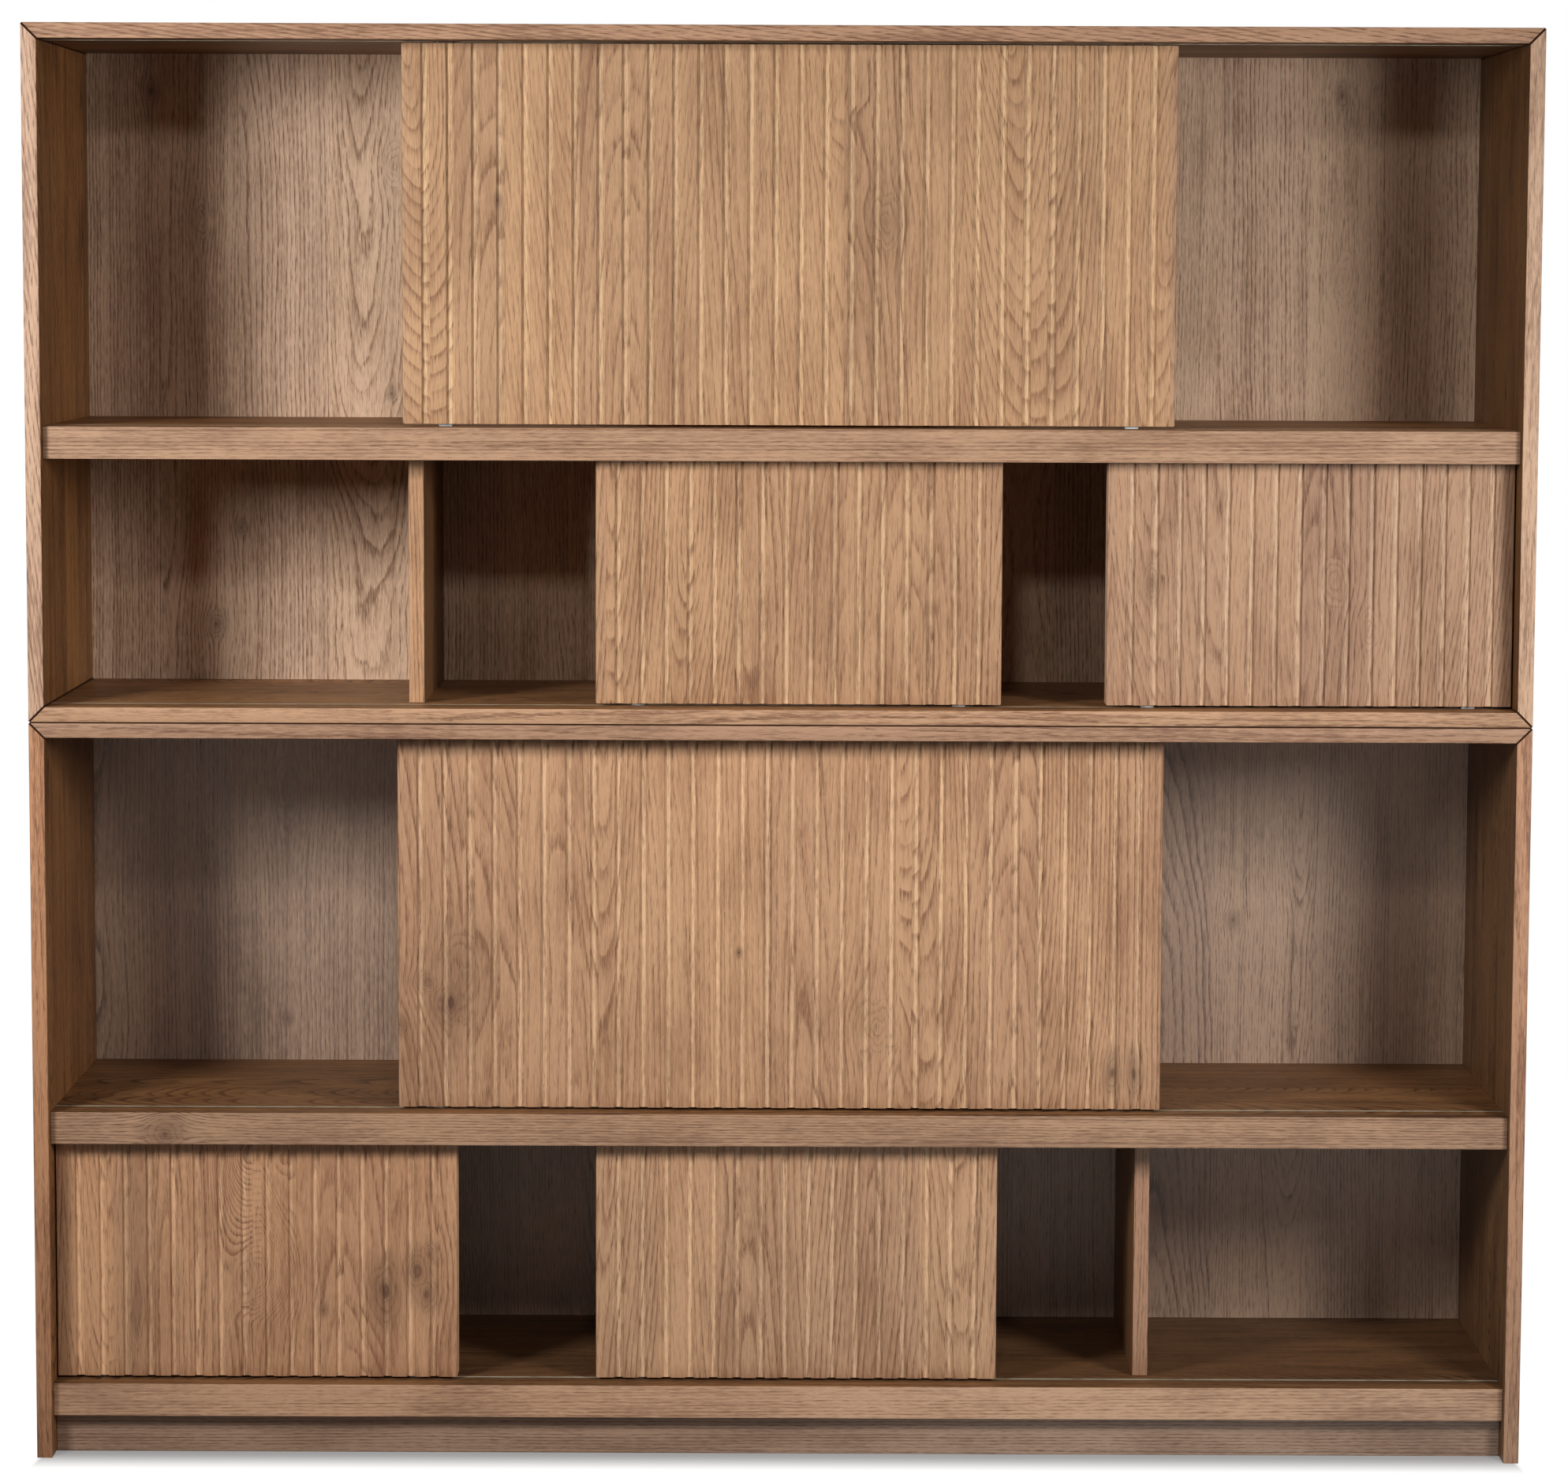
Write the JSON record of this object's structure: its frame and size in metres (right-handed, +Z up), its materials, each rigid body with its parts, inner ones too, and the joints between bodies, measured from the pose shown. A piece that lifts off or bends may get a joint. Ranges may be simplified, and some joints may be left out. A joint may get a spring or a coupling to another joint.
{
  "type": "bookcase",
  "caption": "Wide oak bookcase of two stacked cabinets with mitred frames, open bays and grooved sliding doors.",
  "frame": {"origin": "on the floor, under the middle of the bookcase's box", "axes": "+X along the width to the right, +Y from the front to the back, +Z up"},
  "size_m": [2.2, 0.45, 2.114],
  "materials": {
    "frame_oak": "matt lacquered oak",
    "door_oak": "matt lacquered oak, brushed",
    "inside_oak": "satin stained oak veneer",
    "back_oak": "matt oak veneer in planks",
    "glide_plastic": "pale moulded plastic",
    "runner_plastic": "beige extruded plastic"
  },
  "bodies": {
    "carcass": {"upper_top_panel": "frame_oak", "upper_left_side": "frame_oak", "upper_right_side": "frame_oak", "upper_back_panel": "back_oak", "upper_shelf": "inside_oak", "upper_shelf_apron": "frame_oak", "upper_left_divider": "frame_oak", "upper_right_divider": "frame_oak", "upper_shelf_track": "runner_plastic", "upper_floor_track": "runner_plastic", "upper_top_channel": "runner_plastic", "upper_shelf_channel": "runner_plastic", "lower_top_panel": "frame_oak", "lower_left_side": "frame_oak", "lower_right_side": "frame_oak", "lower_back_panel": "back_oak", "lower_shelf": "inside_oak", "lower_shelf_apron": "frame_oak", "lower_left_divider": "frame_oak", "lower_right_divider": "frame_oak", "lower_shelf_track": "runner_plastic", "lower_floor_track": "runner_plastic", "lower_top_channel": "runner_plastic", "lower_shelf_channel": "runner_plastic", "upper_bottom_panel": "frame_oak", "lower_floor_panel": "inside_oak", "lower_floor_rail": "frame_oak", "lower_plinth": "frame_oak", "lower_rear_plinth": "inside_oak", "lower_base_brace": "inside_oak"},
    "upper_large_door": {"upper_large_door_leaf": "door_oak", "upper_large_door_left_glide": "glide_plastic", "upper_large_door_right_glide": "glide_plastic", "upper_large_door_left_shoe": "glide_plastic", "upper_large_door_right_shoe": "glide_plastic"},
    "upper_middle_door": {"upper_middle_door_leaf": "door_oak", "upper_middle_door_left_glide": "glide_plastic", "upper_middle_door_right_glide": "glide_plastic", "upper_middle_door_left_shoe": "glide_plastic", "upper_middle_door_right_shoe": "glide_plastic"},
    "upper_right_door": {"upper_right_door_leaf": "door_oak", "upper_right_door_left_glide": "glide_plastic", "upper_right_door_right_glide": "glide_plastic", "upper_right_door_left_shoe": "glide_plastic", "upper_right_door_right_shoe": "glide_plastic"},
    "lower_large_door": {"lower_large_door_leaf": "door_oak", "lower_large_door_left_glide": "glide_plastic", "lower_large_door_right_glide": "glide_plastic", "lower_large_door_left_shoe": "glide_plastic", "lower_large_door_right_shoe": "glide_plastic"},
    "lower_left_door": {"lower_left_door_leaf": "door_oak", "lower_left_door_left_glide": "glide_plastic", "lower_left_door_right_glide": "glide_plastic", "lower_left_door_left_shoe": "glide_plastic", "lower_left_door_right_shoe": "glide_plastic"},
    "lower_middle_door": {"lower_middle_door_leaf": "door_oak", "lower_middle_door_left_glide": "glide_plastic", "lower_middle_door_right_glide": "glide_plastic", "lower_middle_door_left_shoe": "glide_plastic", "lower_middle_door_right_shoe": "glide_plastic"}
  },
  "joints": [
    {"name": "upper_large_door_slide", "type": "slide", "parent": "carcass", "child": "upper_large_door", "axis": [1, 0, 0], "range_m": [-0.5206, 0.5006]},
    {"name": "upper_middle_door_slide", "type": "slide", "parent": "carcass", "child": "upper_middle_door", "axis": [1, 0, 0], "range_m": [-0.8032, 0.152]},
    {"name": "upper_right_door_slide", "type": "slide", "parent": "carcass", "child": "upper_right_door", "axis": [1, 0, 0], "range_m": [-0.152, 0]},
    {"name": "lower_large_door_slide", "type": "slide", "parent": "carcass", "child": "lower_large_door", "axis": [1, 0, 0], "range_m": [-0.5106, 0.5106]},
    {"name": "lower_left_door_slide", "type": "slide", "parent": "carcass", "child": "lower_left_door", "axis": [1, 0, 0], "range_m": [0, 0.2045]},
    {"name": "lower_middle_door_slide", "type": "slide", "parent": "carcass", "child": "lower_middle_door", "axis": [1, 0, 0], "range_m": [-0.2045, 0.7507]}
  ]
}
